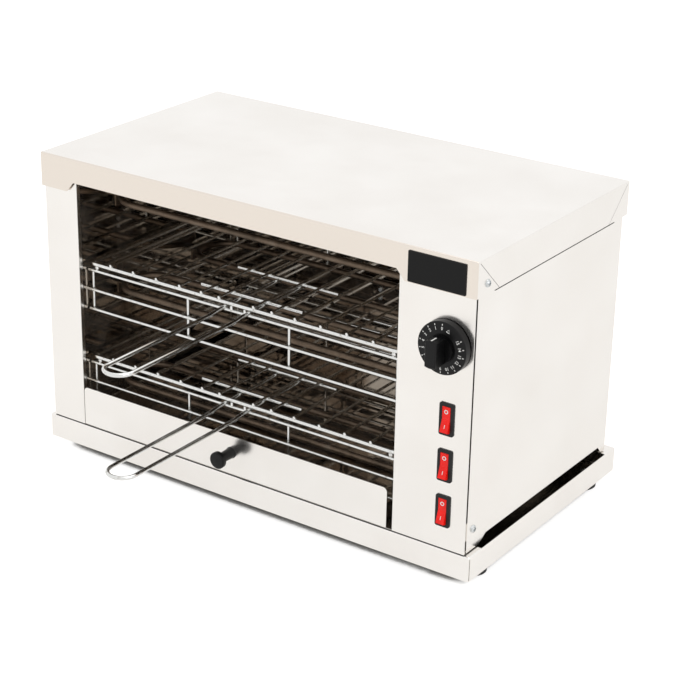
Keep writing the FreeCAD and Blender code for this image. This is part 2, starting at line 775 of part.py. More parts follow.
# Wire guards: welded cages that the racks run on, hung by their middle wires in the liner
def wire_guard(top):
    wires = []
    levels = (top, top - guard_pitch, top - 2 * guard_pitch)
    step = 2 * guard_wire - wire_embed
    first_post = cavity_left + post_left_gap
    post_pitch = (cavity_right - post_right_gap - first_post) / (post_count - 1)
    for y in (guard_front, guard_back):
        inward = 1 if y == guard_front else -1
        for number, z in enumerate(levels):
            reach = guard_reach if number == 1 else -guard_end_gap
            wires.append(rod((cavity_left - reach, y, z), (cavity_right + reach, y, z), guard_wire))
        for number in range(post_count):
            x = first_post + number * post_pitch
            post_y = y + inward * step
            wires.append(rod((x, post_y, levels[2] - guard_wire), (x, post_y, top + guard_wire), guard_wire))
    rail_z = top + guard_wire + rail_radius - weld_touch
    tie_front = guard_front + guard_wire - wire_embed
    tie_back = guard_back - guard_wire + wire_embed
    for x in (cavity_left + rail_inset, cavity_right - rail_inset):
        wires.append(rod((x, guard_front, rail_z), (x, cavity_back - rail_end_gap, rail_z), rail_radius))
        wires.append(rod((x, tie_front, levels[2]), (x, tie_back, levels[2]), guard_wire))
    return wires


guard_tops = {"upper": guard_top, "lower": guard_top - level_drop}
for top in guard_tops.values():
    for y in (guard_front, guard_back):
        z = top - guard_pitch
        cavity_left_wall = hole(cavity_left_wall, (cavity_left - sheet - cut_over, y, z),
                                (cavity_left + cut_over, y, z), guard_wire + thread_gap)
        cavity_right_wall = hole(cavity_right_wall, (cavity_right - cut_over, y, z),
                                 (cavity_right + sheet + cut_over, y, z), guard_wire + thread_gap)


# Toast racks: bent perimeter rod, two short rods, long wires on top, U handle below
def rack_frame(drop):
    z = rack_z - drop
    left = cavity_mid - rack_half
    right = cavity_mid + rack_half
    start = Vector(left + rack_corner, rack_front, z)
    place = start
    heading = Vector(1, 0, 0)
    edges = []
    for x, y in ((right, rack_front), (right, rack_back), (left, rack_back), (left, rack_front)):
        corner = Vector(x, y, z)
        onward = Vector(-heading.y, heading.x, 0)
        before = corner - heading * rack_corner
        middle = corner + (onward - heading) * rack_corner * (1 - math.sqrt(0.5))
        after = corner + onward * rack_corner
        edges.append(line(place, before))
        edges.append(arc(before, middle, after))
        place = after
        heading = onward
    return swept(edges, start, (1, 0, 0), rack_rod)


def rack_wires(drop):
    z = rack_z - drop
    wires = []
    for y in (short_rod_front, short_rod_front + short_rod_pitch):
        wires.append(rod((cavity_mid - short_rod_half, y, z), (cavity_mid + short_rod_half, y, z), rack_rod))
    wire_z = z + rack_rod + rack_wire - weld_touch
    first = rack_front - rack_wire_overhang
    last = rack_back + rack_wire_overhang
    outer_pitch = (rack_half - rack_wire_edge - rack_wire_third) / (rack_outer_count - 1)
    offsets = [rack_wire_first, rack_wire_second]
    offsets += [rack_wire_third + number * outer_pitch for number in range(rack_outer_count)]
    for offset in offsets:
        for x in (cavity_mid - offset, cavity_mid + offset):
            wires.append(rod((x, first, wire_z), (x, last, wire_z), rack_wire))
    return wires


def rack_handle(drop):
    z = rack_z - rack_rod - handle_wire + weld_touch - drop
    low = z - handle_step
    left = handle_centre - handle_half
    right = handle_centre + handle_half
    run = handle_step_back - handle_step_front
    middle_y = (handle_step_back + handle_step_front) / 2
    middle_z = z - handle_step / 2
    # Each half of the step is an arc through a point a quarter of the run along
    quarter = handle_step / 8
    front_y = handle_step_back - run / 4
    back_y = handle_step_back - 3 * run / 4
    edges = [line((left, handle_root_y, z), (left, handle_step_back, z))]
    edges.append(arc((left, handle_step_back, z), (left, front_y, z - quarter), (left, middle_y, middle_z)))
    edges.append(arc((left, middle_y, middle_z), (left, back_y, low + quarter),
                     (left, handle_step_front, low)))
    edges.append(line((left, handle_step_front, low), (left, handle_end_y, low)))
    edges.append(arc((left, handle_end_y, low), (handle_centre, handle_end_y - handle_half, low),
                     (right, handle_end_y, low)))
    edges.append(line((right, handle_end_y, low), (right, handle_step_front, low)))
    edges.append(arc((right, handle_step_front, low), (right, back_y, low + quarter),
                     (right, middle_y, middle_z)))
    edges.append(arc((right, middle_y, middle_z), (right, front_y, z - quarter),
                     (right, handle_step_back, z)))
    edges.append(line((right, handle_step_back, z), (right, handle_root_y, z)))
    handle = swept(edges, (left, handle_root_y, z), (0, -1, 0), handle_wire)
    stub_top = rack_z - rack_rod + weld_touch - drop
    stubs = []
    for side in (-1, 1):
        x = handle_centre + side * stub_offset
        stubs.append(rod((x, rack_front, stub_top - stub_length), (x, rack_front, stub_top), stub_radius))
    return [handle] + stubs


# Hairpin elements with bushes through the partition, insulators and terminal pins
element_levels = {"top": ceiling_under - top_element_drop, "middle": guard_top - middle_element_drop}
element_levels["lower"] = guard_top - level_drop - lower_element_drop
elements = {}
element_clips = []
element_bushes = []
element_insulators = []
element_terminals = []
for name, z in element_levels.items():
    hairpins = []
    for y in (element_front, cavity_back - element_rear_gap):
        near = y - bend_radius
        far = y + bend_radius
        edges = [line((element_end, near, z), (loop_x, near, z))]
        edges.append(arc((loop_x, near, z), (loop_x - bend_radius, y, z), (loop_x, far, z)))
        edges.append(line((loop_x, far, z), (element_end, far, z)))
        hairpins.append(swept(edges, (element_end, near, z), (-1, 0, 0), tube))
        shelf_top = z - tube - thread_gap
        shelf = box(cavity_left, cavity_left + clip_reach, y - clip_half, y + clip_half, shelf_top - sheet,
                    shelf_top)
        leg = box(cavity_left, cavity_left + sheet, y - clip_half, y + clip_half, shelf_top - clip_drop,
                  shelf_top)
        element_clips.append(shelf.fuse(leg).removeSplitter())
        for leg_y in (near, far):
            cavity_right_wall = hole(cavity_right_wall, (cavity_right - cut_over, leg_y, z),
                                     (cavity_right + sheet + cut_over, leg_y, z), bush_barrel + thread_gap)
            bush = rod((cavity_right - bush_head_length, leg_y, z), (cavity_right, leg_y, z), bush_head)
            bush = bush.fuse(rod((cavity_right - touch, leg_y, z), (cavity_right + sheet + touch, leg_y, z),
                                 bush_barrel))
            nut_x = cavity_right + sheet
            bush = bush.fuse(hexagon(bush_nut, bush_nut_length, (nut_x, leg_y, z), (1, 0, 0), tube))
            bush = hole(bush, (cavity_right - bush_head_length - cut_over, leg_y, z),
                        (nut_x + bush_nut_length + cut_over, leg_y, z), tube + thread_gap)
            element_bushes.append(bush)
            collar = rod((element_end, leg_y, z), (element_end + collar_length, leg_y, z), collar_radius)
            element_insulators.append(hole(collar, (element_end - cut_over, leg_y, z),
                                           (element_end + collar_length + cut_over, leg_y, z),
                                           pin_radius + thread_gap))
            element_terminals.append(rod((element_end, leg_y, z), (element_end + pin_length, leg_y, z),
                                         pin_radius))
    elements[name] = hairpins

# Timer: body behind the panel, shaft, and a bar knob on a skirted dial
timer_back = tab_back + timer_depth
timer_body = box(timer_x - timer_half, timer_x + timer_half, tab_back, timer_back, timer_z - timer_half,
                 timer_z + timer_half)
timer_body = fold(timer_body, timer_corner, along_depth)
timer_body = timer_body.fuse(rod((timer_x, timer_boss_front, timer_z),
                                 (timer_x, tab_back + cut_over, timer_z), timer_boss)).removeSplitter()
timer_body = hole(timer_body, (timer_x, timer_boss_front - cut_over, timer_z),
                  (timer_x, shaft_rear + slip, timer_z), shaft_radius + thread_gap)
timer_screws = []
for x, z in timer_screw_places:
    timer_body = hole(timer_body, (x, tab_back - cut_over, z),
                      (x, body_front + timer_screw_length + slip, z), m3 + thread_gap)
    timer_screws.append(screw((x, body_front, z), (0, 1, 0), m3, timer_screw_length, flat_head,
                              flat_head_height, False))
timer_shaft = rod((timer_x, shaft_front, timer_z), (timer_x, shaft_rear, timer_z), shaft_radius)
flat = box(timer_x - shaft_radius, timer_x + shaft_radius, shaft_front - cut_over, shaft_round_from,
           timer_z - shaft_radius - cut_over, timer_z - shaft_flat)
timer_shaft = timer_shaft.cut(flat)
outline = [(0, grip_front), (hub_radius, grip_front), (hub_radius, face_inner_y), (face_inner, face_inner_y)]
outline += [(skirt_radius - skirt_bevel, skirt_rim - skirt_bevel), (skirt_radius, skirt_rim)]
skirt_inner = skirt_radius - skirt_wall
skirt_web = skirt_rim + skirt_wall
sleeve_radius = shaft_radius + knob_sleeve
sleeve_rear = timer_boss_front - slip - knob_sleeve_gap
outline += [(skirt_radius, skirt_rear), (skirt_inner, skirt_rear), (skirt_inner, skirt_web)]
outline += [(sleeve_radius, skirt_web), (sleeve_radius, sleeve_rear), (0, sleeve_rear)]
timer_knob = turned(outline, (timer_x, 0, timer_z), (0, 1, 0))
for side in (-1, 1):
    cheek_inner = timer_x + side * grip_width / 2
    cheek_outer = timer_x + side * (hub_radius + cut_over)
    cheek = box(min(cheek_inner, cheek_outer), max(cheek_inner, cheek_outer), grip_front - cut_over,
                hub_front, timer_z - hub_radius - cut_over, timer_z + hub_radius + cut_over)
    timer_knob = timer_knob.cut(cheek)
timer_knob = fold(timer_knob, grip_edge, at_depth(grip_front))
bore = rod((timer_x, shaft_front - slip, timer_z), (timer_x, skirt_rear, timer_z), shaft_radius + thread_gap)
bore = bore.cut(box(timer_x - sleeve_radius, timer_x + sleeve_radius, shaft_front - cut_over,
                    shaft_round_from - slip, timer_z - shaft_radius - cut_over,
                    timer_z - shaft_flat - thread_gap))
timer_knob = timer_knob.cut(bore)


# Rocker switches: framed housing with a pocket, and a dished rocker on two stub axles
tilt = math.radians(rocker_tilt)
pivot_y = bezel_front - rocker_proud + rocker_dip * math.cos(tilt)
rocker_tip = rocker_dip + rocker_half * math.tan(tilt)
rocker_reach = math.hypot(rocker_half, rocker_tip)


def switch_housing(z):
    bezel = box(switch_x - bezel_width / 2, switch_x + bezel_width / 2, bezel_front, body_front,
                z - bezel_height / 2, z + bezel_height / 2)
    bezel = fold(bezel, bezel_corner, along_depth)
    bezel = fold(bezel, bezel_edge, at_depth(bezel_front))
    core = box(switch_x - cutout_width / 2, switch_x + cutout_width / 2, body_front - touch, housing_depth,
               z - cutout_height / 2, z + cutout_height / 2)
    housing = bezel.fuse(core).removeSplitter()
    pocket_half_width = rocker_width / 2 + pocket_side
    pocket_half_height = rocker_reach + pocket_end
    pocket = box(switch_x - pocket_half_width, switch_x + pocket_half_width, bezel_front - cut_over,
                 pivot_y + pocket_floor, z - pocket_half_height, z + pocket_half_height)
    housing = housing.cut(pocket)
    axle_reach = pocket_half_width + pin_axle_reach + slip
    return hole(housing, (switch_x - axle_reach, pivot_y, z), (switch_x + axle_reach, pivot_y, z),
                pin_axle + pin_axle_gap)


def rocker(z):
    side = switch_x - rocker_width / 2
    back_z = math.sqrt(rocker_reach ** 2 - rocker_back ** 2)
    tip_angle = math.atan2(-rocker_tip, rocker_half)
    back_angle = math.atan2(rocker_back, back_z)
    mid_angle = (tip_angle + back_angle) / 2
    mid_y = rocker_reach * math.sin(mid_angle)
    mid_z = rocker_reach * math.cos(mid_angle)
    edges = [line((side, -rocker_dip, 0), (side, -rocker_tip, rocker_half))]
    edges.append(arc((side, -rocker_tip, rocker_half), (side, mid_y, mid_z), (side, rocker_back, back_z)))
    edges.append(line((side, rocker_back, back_z), (side, rocker_back, -back_z)))
    edges.append(arc((side, rocker_back, -back_z), (side, mid_y, -mid_z), (side, -rocker_tip, -rocker_half)))
    edges.append(line((side, -rocker_tip, -rocker_half), (side, -rocker_dip, 0)))
    paddle = Part.Face(Part.Wire(edges)).extrude(Vector(rocker_width, 0, 0))
    axle_half = rocker_width / 2 + pocket_side + pin_axle_reach
    axle = rod((switch_x - axle_half, 0, 0), (switch_x + axle_half, 0, 0), pin_axle)
    paddle = paddle.fuse(axle).removeSplitter()
    # At rest the upper half is pressed in
    paddle.rotate(Vector(switch_x, 0, 0), Vector(1, 0, 0), -rocker_tilt)
    paddle.translate(Vector(0, pivot_y, z))
    return paddle


switch_tabs = []
for z in switch_levels:
    for row in (-1, 0, 1):
        mid = z + row * tab_pitch
        switch_tabs.append(box(switch_x - tab_half_width, switch_x + tab_half_width, housing_depth,
                               housing_depth + tab_length, mid - tab_half_thick, mid + tab_half_thick))

# Terminal block on the case floor and the cable gland in the back panel
terminal_block = box(block_x, block_x + block_width, block_front, block_front + block_depth, body_bottom,
                     body_bottom + block_height)
terminal_block_screws = []
block_top = body_bottom + block_height
for pole in range(pole_count):
    x = block_x + pole_inset + pole * pole_pitch
    for y in (block_front + pole_screw_inset, block_front + block_depth - pole_screw_inset):
        terminal_block = hole(terminal_block, (x, y, block_top - pole_screw_depth),
                              (x, y, block_top + cut_over), m3 + thread_gap)
        terminal_block_screws.append(screw((x, y, block_top), (0, 0, -1), m3, block_screw_length, m3_head,
                                           m3_head_height, False))
    mouth_z = body_bottom + pole_mouth_height
    terminal_block = hole(terminal_block, (x, block_front - cut_over, mouth_z),
                          (x, block_front + block_depth + cut_over, mouth_z), pole_mouth_radius)
back_panel = hole(back_panel, (gland_x, through_back[0], gland_z), (gland_x, through_back[1], gland_z),
                  gland_barrel + thread_gap)
cable_gland = rod((gland_x, gland_inner_end, gland_z), (gland_x, body_back + cut_over, gland_z), gland_barrel)
cable_gland = cable_gland.fuse(hexagon(gland_hex, gland_hex_height, (gland_x, body_back, gland_z), (0, 1, 0),
                                       gland_bore))
dome_start = body_back + gland_hex_height
dome_length = gland_dome_end - dome_start
outline = [(gland_bore, -cut_over), (gland_dome, -cut_over), (gland_dome, gland_dome_shoulder)]
outline += [(gland_dome - gland_dome_shoulder, dome_length), (gland_bore, dome_length)]
cable_gland = cable_gland.fuse(turned(outline, (gland_x, dome_start, gland_z), (0, 1, 0)))
cable_gland = hole(cable_gland, (gland_x, gland_inner_end - cut_over, gland_z),
                   (gland_x, gland_dome_end + cut_over, gland_z), gland_bore)
cable_gland_nut = hexagon(gland_hex, gland_nut_height, (gland_x, body_back - sheet, gland_z), (0, -1, 0),
                          gland_barrel + thread_gap)

nodes["base_tray"] = base_tray
nodes["feet"] = feet
nodes["foot_screws"] = foot_screws
nodes["foot_nuts"] = foot_nuts
nodes["body_floor"] = body_floor
nodes["floor_screws"] = floor_screws
nodes["floor_nuts"] = floor_nuts
nodes["left_side_panel"] = left_side_panel
nodes["right_side_panel"] = right_side_panel
nodes["side_panel_tabs"] = side_panel_tabs
nodes["side_panel_screw"] = side_panel_screw
nodes["control_panel"] = control_panel
nodes["back_panel"] = back_panel
nodes["back_panel_screws"] = back_panel_screws
nodes["lid"] = lid
nodes["lid_screws"] = lid_screws
nodes["lid_spacers"] = lid_spacers
nodes["lid_plate"] = lid_plate
nodes["cavity_left_wall"] = cavity_left_wall
nodes["cavity_right_wall"] = cavity_right_wall
nodes["cavity_back_wall"] = cavity_back_wall
nodes["cavity_ceiling"] = cavity_ceiling
nodes["back_stiffener"] = back_stiffener
nodes["back_wall_screws"] = back_wall_screws
nodes["crumb_tray_pan"] = crumb_tray_pan
nodes["crumb_tray_front"] = crumb_tray_front
nodes["crumb_tray_rivets"] = crumb_tray_rivets
nodes["crumb_tray_knob"] = crumb_tray_knob
nodes["crumb_tray_knob_screw"] = crumb_tray_knob_screw
nodes["tray_guides"] = tray_guides
for level, top in guard_tops.items():
    nodes[level + "_wire_guard"] = wire_guard(top)
    drop = guard_top - top
    nodes[level + "_rack_frame"] = rack_frame(drop)
    nodes[level + "_rack_wires"] = rack_wires(drop)
    nodes[level + "_rack_handle"] = rack_handle(drop)
for name, hairpins in elements.items():
    nodes[name + "_elements"] = hairpins
nodes["element_clips"] = element_clips
nodes["element_bushes"] = element_bushes
nodes["element_insulators"] = element_insulators
nodes["element_terminals"] = element_terminals
nodes["timer_knob"] = timer_knob
nodes["timer_shaft"] = timer_shaft
nodes["timer_body"] = timer_body
nodes["timer_screws"] = timer_screws
for name, z in zip(switch_names, switch_levels):
    nodes["switch_housing_" + name] = switch_housing(z)
    nodes["rocker_" + name] = rocker(z)
nodes["switch_tabs"] = switch_tabs
nodes["terminal_block"] = terminal_block
nodes["terminal_block_screws"] = terminal_block_screws
nodes["cable_gland"] = cable_gland
nodes["cable_gland_nut"] = cable_gland_nut

# The whole stands on its feet, centred between the handle's front and the base's back
front_reach = handle_end_y - handle_half - handle_wire
centre_y = (front_reach + base_back) / 2
os.makedirs("parts", exist_ok=True)
for name, shape in nodes.items():
    solid = Part.makeCompound(shape) if isinstance(shape, list) else shape
    solid.translate(Vector(0, -centre_y, foot_height))
    solid.exportStep("parts/" + name + ".step")
    print(name, len(solid.Solids), round(solid.Volume / 1000, 2))
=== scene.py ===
import math

import bpy
from mathutils import Matrix, Vector


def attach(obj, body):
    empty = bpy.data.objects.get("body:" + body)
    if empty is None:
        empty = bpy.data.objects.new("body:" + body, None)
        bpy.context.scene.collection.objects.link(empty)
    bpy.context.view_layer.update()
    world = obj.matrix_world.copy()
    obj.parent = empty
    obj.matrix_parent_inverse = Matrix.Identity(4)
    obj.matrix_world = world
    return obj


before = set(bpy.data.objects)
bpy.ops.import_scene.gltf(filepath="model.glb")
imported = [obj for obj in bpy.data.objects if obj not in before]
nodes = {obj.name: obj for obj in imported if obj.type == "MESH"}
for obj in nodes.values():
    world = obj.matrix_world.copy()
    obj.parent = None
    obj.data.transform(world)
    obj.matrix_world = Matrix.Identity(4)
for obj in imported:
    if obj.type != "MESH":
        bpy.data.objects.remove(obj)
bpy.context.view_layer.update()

# Countertop toaster grill: satin steel case, plated racks and guards, sheathed elements, dial and rockers
mm = 0.001
depthShift = 57.8  # the row's middle, measured back from the lid's front face, in mm
footRise = 12.0    # the base's lower edge above the floor, in mm


def placed(x, y, z):
    # millimetres from the lid's front face and the base's lower edge, to metres in the row
    return Vector((x * mm, (y - depthShift) * mm, (z + footRise) * mm))


def linearColour(code):
    parts = [int(code[start:start + 2], 16) / 255 for start in (1, 3, 5)]
    return [part / 12.92 if part <= 0.04045 else ((part + 0.055) / 1.055) ** 2.4 for part in parts] + [1.0]


def addNode(tree, kind, settings=None, links=None):
    node = tree.nodes.new(kind)
    for name, value in (settings or {}).items():
        if name == "ramp":
            for extra in value[2:]:
                node.color_ramp.elements.new(extra[0])
            for element, (place, code) in zip(node.color_ramp.elements, sorted(value)):
                element.position = place
                element.color = linearColour(code)
        elif isinstance(name, int) or name in node.inputs:
            node.inputs[name].default_value = value
        else:
            setattr(node, name, value)
    for name, source in (links or {}).items():
        tree.links.new(source, node.inputs[name])
    return node


def newMaterial(name):
    material = bpy.data.materials.new(name)
    material.use_nodes = True
    material.node_tree.nodes.clear()
    return material, material.node_tree


def perMetre(size):
    # how often a pattern of this size in millimetres repeats in a metre
    return 1 / (size * mm)


# Camera at the photograph's viewing angle
cameraFacts = {
    "place": (1.01016, -1.36309, 0.89012),
    "right": (0.81884, 0.57375, 0.01774),
    "up": (-0.23845, 0.31187, 0.91972),
    "ahead": (-0.52216, 0.75733, -0.39218),
    "lens": 101.32,
    "sensor": 36.0,
    "near": 0.05,
}
lensData = bpy.data.cameras.new("photoCamera")
lensData.lens = cameraFacts["lens"]
lensData.sensor_width = cameraFacts["sensor"]
lensData.sensor_fit = "HORIZONTAL"
lensData.clip_start = cameraFacts["near"]
camera = bpy.data.objects.new("photoCamera", lensData)
bpy.context.scene.collection.objects.link(camera)
backwards = [-part for part in cameraFacts["ahead"]]
turn = Matrix((cameraFacts["right"], cameraFacts["up"], backwards)).transposed()
camera.matrix_world = Matrix.Translation(cameraFacts["place"]) @ turn.to_4x4()
bpy.context.scene.camera = camera
bpy.context.scene.view_settings.view_transform = "Standard"
print("camera set")

# Floor, world and lamps
studio = {
    "floorHalf": 7.0,
    "floorColour": "#E4E3E1",     # what the floor throws back on the object
    "floorSeen": "#B9B8B6",       # the share that takes the shadow, where the floor is seen
    "floorLift": 0.58,
    "cameraLift": 0.22,
    "contactReach": 0.5,
    "contactFrom": 0.15,          # below this openness the lift is gone: the dark line under the base
    "contactTo": 0.19,            # above this one it is whole
    "contactSamples": 32,
    "worldSeen": "#FFFFFF",
    "worldLight": 0.62,
    "aimAt": (0, 0, 0.15),
    "lamps": [
        {"name": "keyLamp", "place": (-1.5, -1.9, 1.9), "size": 2.0, "power": 17.0, "mirrored": False},
        {"name": "sideLamp", "place": (2.0, -0.6, 1.6), "size": 1.6, "power": 9.0, "mirrored": True},
        {"name": "topLamp", "place": (0.1, 0.5, 2.3), "size": 2.0, "power": 11.0, "mirrored": True},
    ],
}
for thing in bpy.context.selected_objects:
    thing.select_set(False)
bpy.ops.mesh.primitive_plane_add(size=2 * studio["floorHalf"], location=(0, 0, 0))
studioFloor = bpy.context.object
studioFloor.name = "studioFloor"
paperFloor, tree = newMaterial("paleStudioPaper")
rays = addNode(tree, "ShaderNodeLightPath")
shown = addNode(tree, "ShaderNodeMath", {"operation": "MAXIMUM"},
                {0: rays.outputs["Is Camera Ray"], 1: rays.outputs["Is Glossy Ray"]})
shown = addNode(tree, "ShaderNodeMath", {"operation": "MAXIMUM"},
                {0: shown.outputs[0], 1: rays.outputs["Is Transmission Ray"]})
plain = addNode(tree, "ShaderNodeBsdfDiffuse", {"Color": linearColour(studio["floorColour"])})
shadowed = addNode(tree, "ShaderNodeBsdfDiffuse", {"Color": linearColour(studio["floorSeen"])})
openness = addNode(tree, "ShaderNodeAmbientOcclusion",
                   {"Distance": studio["contactReach"], "samples": studio["contactSamples"]})
extra = addNode(tree, "ShaderNodeMath", {"operation": "MULTIPLY_ADD", 1: studio["cameraLift"],
                                         2: studio["floorLift"]}, {0: rays.outputs["Is Camera Ray"]})
fade = addNode(tree, "ShaderNodeMapRange",
               {"From Min": studio["contactFrom"], "From Max": studio["contactTo"],
                "interpolation_type": "SMOOTHSTEP"},
               {0: openness.outputs["AO"], "To Max": extra.outputs[0]})
lift = addNode(tree, "ShaderNodeEmission", {}, {"Strength": fade.outputs[0]})
seen = addNode(tree, "ShaderNodeAddShader", {}, {0: shadowed.outputs[0], 1: lift.outputs[0]})
chosen = addNode(tree, "ShaderNodeMixShader", {},
                 {0: shown.outputs[0], 1: plain.outputs[0], 2: seen.outputs[0]})
addNode(tree, "ShaderNodeOutputMaterial", {}, {"Surface": chosen.outputs[0]})
studioFloor.data.materials.append(paperFloor)

world = bpy.data.worlds.new("studioWorld")
bpy.context.scene.world = world
world.use_nodes = True
world.node_tree.nodes.clear()
tree = world.node_tree
rays = addNode(tree, "ShaderNodeLightPath")
shown = addNode(tree, "ShaderNodeMath", {"operation": "MAXIMUM"},
                {0: rays.outputs["Is Camera Ray"], 1: rays.outputs["Is Glossy Ray"]})
shown = addNode(tree, "ShaderNodeMath", {"operation": "MAXIMUM"},
                {0: shown.outputs[0], 1: rays.outputs["Is Transmission Ray"]})
fill = addNode(tree, "ShaderNodeBackground", {"Color": linearColour(studio["worldSeen"]),
                                              "Strength": studio["worldLight"]})
white = addNode(tree, "ShaderNodeBackground", {"Color": linearColour(studio["worldSeen"]), "Strength": 1.0})
chosen = addNode(tree, "ShaderNodeMixShader", {},
                 {0: shown.outputs[0], 1: fill.outputs[0], 2: white.outputs[0]})
addNode(tree, "ShaderNodeOutputWorld", {}, {"Surface": chosen.outputs[0]})

for lamp in studio["lamps"]:
    light = bpy.data.lights.new(lamp["name"], "AREA")
    light.size = lamp["size"]
    light.energy = lamp["power"]
    holder = bpy.data.objects.new(lamp["name"], light)
    bpy.context.scene.collection.objects.link(holder)
    holder.location = lamp["place"]
    holder.visible_glossy = lamp["mirrored"]
    aim = Vector(studio["aimAt"]) - Vector(lamp["place"])
    holder.rotation_euler = aim.to_track_quat("-Z", "Y").to_euler()
print("studio set")

# Satin stainless sheet, brushed at the mill and folded: broad soft reflections drawn out along the grain
satinFacts = {
    "colour": "#F6F3EF",
    "worn": "#F0ECE7",
    "grain": 0.7,          # real grain is near 0.1 mm, drawn coarser so that it shows
    "grainRun": 70.0,
    "handling": 90.0,      # size of the faint handling marks
    "roughLow": 0.2,
    "roughHigh": 0.25,
    "bump": 0.03,
    "bumpDepth": 0.1,
    "warmTint": "#E9E0D6",    # painted reflection: a warm tint on the lid's front flange, standing for the warm surroundings it reflects
    "warmTintFrom": -55.8,
    "warmTintTo": -56.9,
    "insideShade": "#857D73",    # painted shade: the base tray's inside, darker so that the air inlet reads dark
}
# middle and half width of the base tray's inside on each axis, in the row: the box where shade is painted
baseHollow = ((0.0, 251.9), (86.1, 139.3), (24.5, 12.2))


def satinStainless(name, runAxis, facts, warmTintShare=0.0, hollow=()):
    material, tree = newMaterial(name)
    where = addNode(tree, "ShaderNodeTexCoord")
    stretch = [perMetre(facts["grain"])] * 3
    stretch[runAxis] = perMetre(facts["grainRun"])
    drawn = addNode(tree, "ShaderNodeMapping", {"Scale": stretch}, {"Vector": where.outputs["Object"]})
    grain = addNode(tree, "ShaderNodeTexNoise", {"Scale": 1.0, "Detail": 4.0, "Roughness": 0.65},
                    {"Vector": drawn.outputs[0]})
    marks = addNode(tree, "ShaderNodeTexNoise", {"Scale": perMetre(facts["handling"]), "Detail": 3.0,
                                                 "Roughness": 0.5}, {"Vector": where.outputs["Object"]})
    colour = addNode(tree, "ShaderNodeValToRGB", {"ramp": [(0.3, facts["worn"]), (0.7, facts["colour"])]},
                     {0: marks.outputs[0]})
    split = addNode(tree, "ShaderNodeSeparateXYZ", {}, {0: where.outputs["Object"]})
    # painted reflection: the warm tint fades in over the lid's front fold onto its front face
    flange = addNode(tree, "ShaderNodeMapRange", {"From Min": facts["warmTintFrom"] * mm,
                                                  "From Max": facts["warmTintTo"] * mm, "To Max": warmTintShare},
                     {0: split.outputs["Y"]})
    tinted = addNode(tree, "ShaderNodeMixRGB", {"Color2": linearColour(facts["warmTint"])},
                     {"Fac": flange.outputs[0], "Color1": colour.outputs[0]})
    # painted shade: inside this box the colour goes over to the dark shade colour
    within = None
    for axis, (middle, reach) in zip("XYZ", hollow):
        near = addNode(tree, "ShaderNodeMath", {"operation": "COMPARE", 1: middle * mm, 2: reach * mm},
                       {0: split.outputs[axis]})
        within = addNode(tree, "ShaderNodeMath", {"operation": "MULTIPLY"},
                         {0: near.outputs[0], 1: within.outputs[0]}) if within else near
    if within:
        tinted = addNode(tree, "ShaderNodeMixRGB", {"Color2": linearColour(facts["insideShade"])},
                         {"Fac": within.outputs[0], "Color1": tinted.outputs[0]})
    both = addNode(tree, "ShaderNodeMath", {"operation": "MULTIPLY_ADD", 1: 0.5},
                   {0: grain.outputs[0], 2: marks.outputs[0]})
    rough = addNode(tree, "ShaderNodeMapRange",
                    {"From Min": 0.45, "From Max": 1.05, "To Min": facts["roughLow"],
                     "To Max": facts["roughHigh"]}, {0: both.outputs[0]})
    relief = addNode(tree, "ShaderNodeBump", {"Strength": facts["bump"], "Distance": facts["bumpDepth"] * mm},
                     {"Height": grain.outputs[0]})
    steel = addNode(tree, "ShaderNodeBsdfPrincipled", {"Metallic": 1.0},
                    {"Base Color": tinted.outputs[0], "Roughness": rough.outputs[0],
                     "Normal": relief.outputs[0]})
    addNode(tree, "ShaderNodeOutputMaterial", {}, {"Surface": steel.outputs[0]})
    return material


satinAcross = satinStainless("satinStainlessAcross", 0, satinFacts)
satinAlong = satinStainless("satinStainlessAlong", 1, satinFacts)
satinUpright = satinStainless("satinStainlessUpright", 2, satinFacts)
# the lid carries the painted warm reflection on its front flange
satinWarmReflection = satinStainless("satinStainlessPaintedWarmReflection", 0, satinFacts, 1.0)
# the base tray carries painted shade on its inside
satinBaseShadedInside = satinStainless("satinStainlessShadedInside", 0, satinFacts, 0.0, baseHollow)

# Bright-rolled liner sheet, a mirror that baking has fogged and tinted straw and brown in patches
linerFacts = {
    "colour": "#BDB7AF",
    "tint": "#93806D",
    "patch": 80.0,
    "smear": 14.0,
    "roughLow": 0.012,
    "roughHigh": 0.05,
    "wave": 0.04,
    "waveDepth": 0.15,
    "film": 0.7,          # how much metal still shows through the baked film in the patches
}


def bakedLiner(name, facts):
    material, tree = newMaterial(name)
    where = addNode(tree, "ShaderNodeTexCoord")
    patches = addNode(tree, "ShaderNodeTexNoise", {"Scale": perMetre(facts["patch"]), "Detail": 6.0,
                                                   "Roughness": 0.62}, {"Vector": where.outputs["Object"]})
    smears = addNode(tree, "ShaderNodeTexNoise", {"Scale": perMetre(facts["smear"]), "Detail": 3.0},
                     {"Vector": where.outputs["Object"]})
    colour = addNode(tree, "ShaderNodeValToRGB", {"ramp": [(0.4, facts["colour"]), (0.72, facts["tint"])]},
                     {0: patches.outputs[0]})
    rough = addNode(tree, "ShaderNodeMapRange",
                    {"From Min": 0.35, "From Max": 0.7, "To Min": facts["roughLow"],
                     "To Max": facts["roughHigh"]}, {0: smears.outputs[0]})
    relief = addNode(tree, "ShaderNodeBump", {"Strength": facts["wave"], "Distance": facts["waveDepth"] * mm},
                     {"Height": patches.outputs[0]})
    film = addNode(tree, "ShaderNodeMapRange", {"From Min": 0.44, "From Max": 0.66, "To Min": 1.0,
                                                "To Max": facts["film"]}, {0: patches.outputs[0]})
    steel = addNode(tree, "ShaderNodeBsdfPrincipled", {},
                    {"Base Color": colour.outputs[0], "Metallic": film.outputs[0],
                     "Roughness": rough.outputs[0], "Normal": relief.outputs[0]})
    addNode(tree, "ShaderNodeOutputMaterial", {}, {"Surface": steel.outputs[0]})
    return material


linerSheet = bakedLiner("brightRolledLiner", linerFacts)

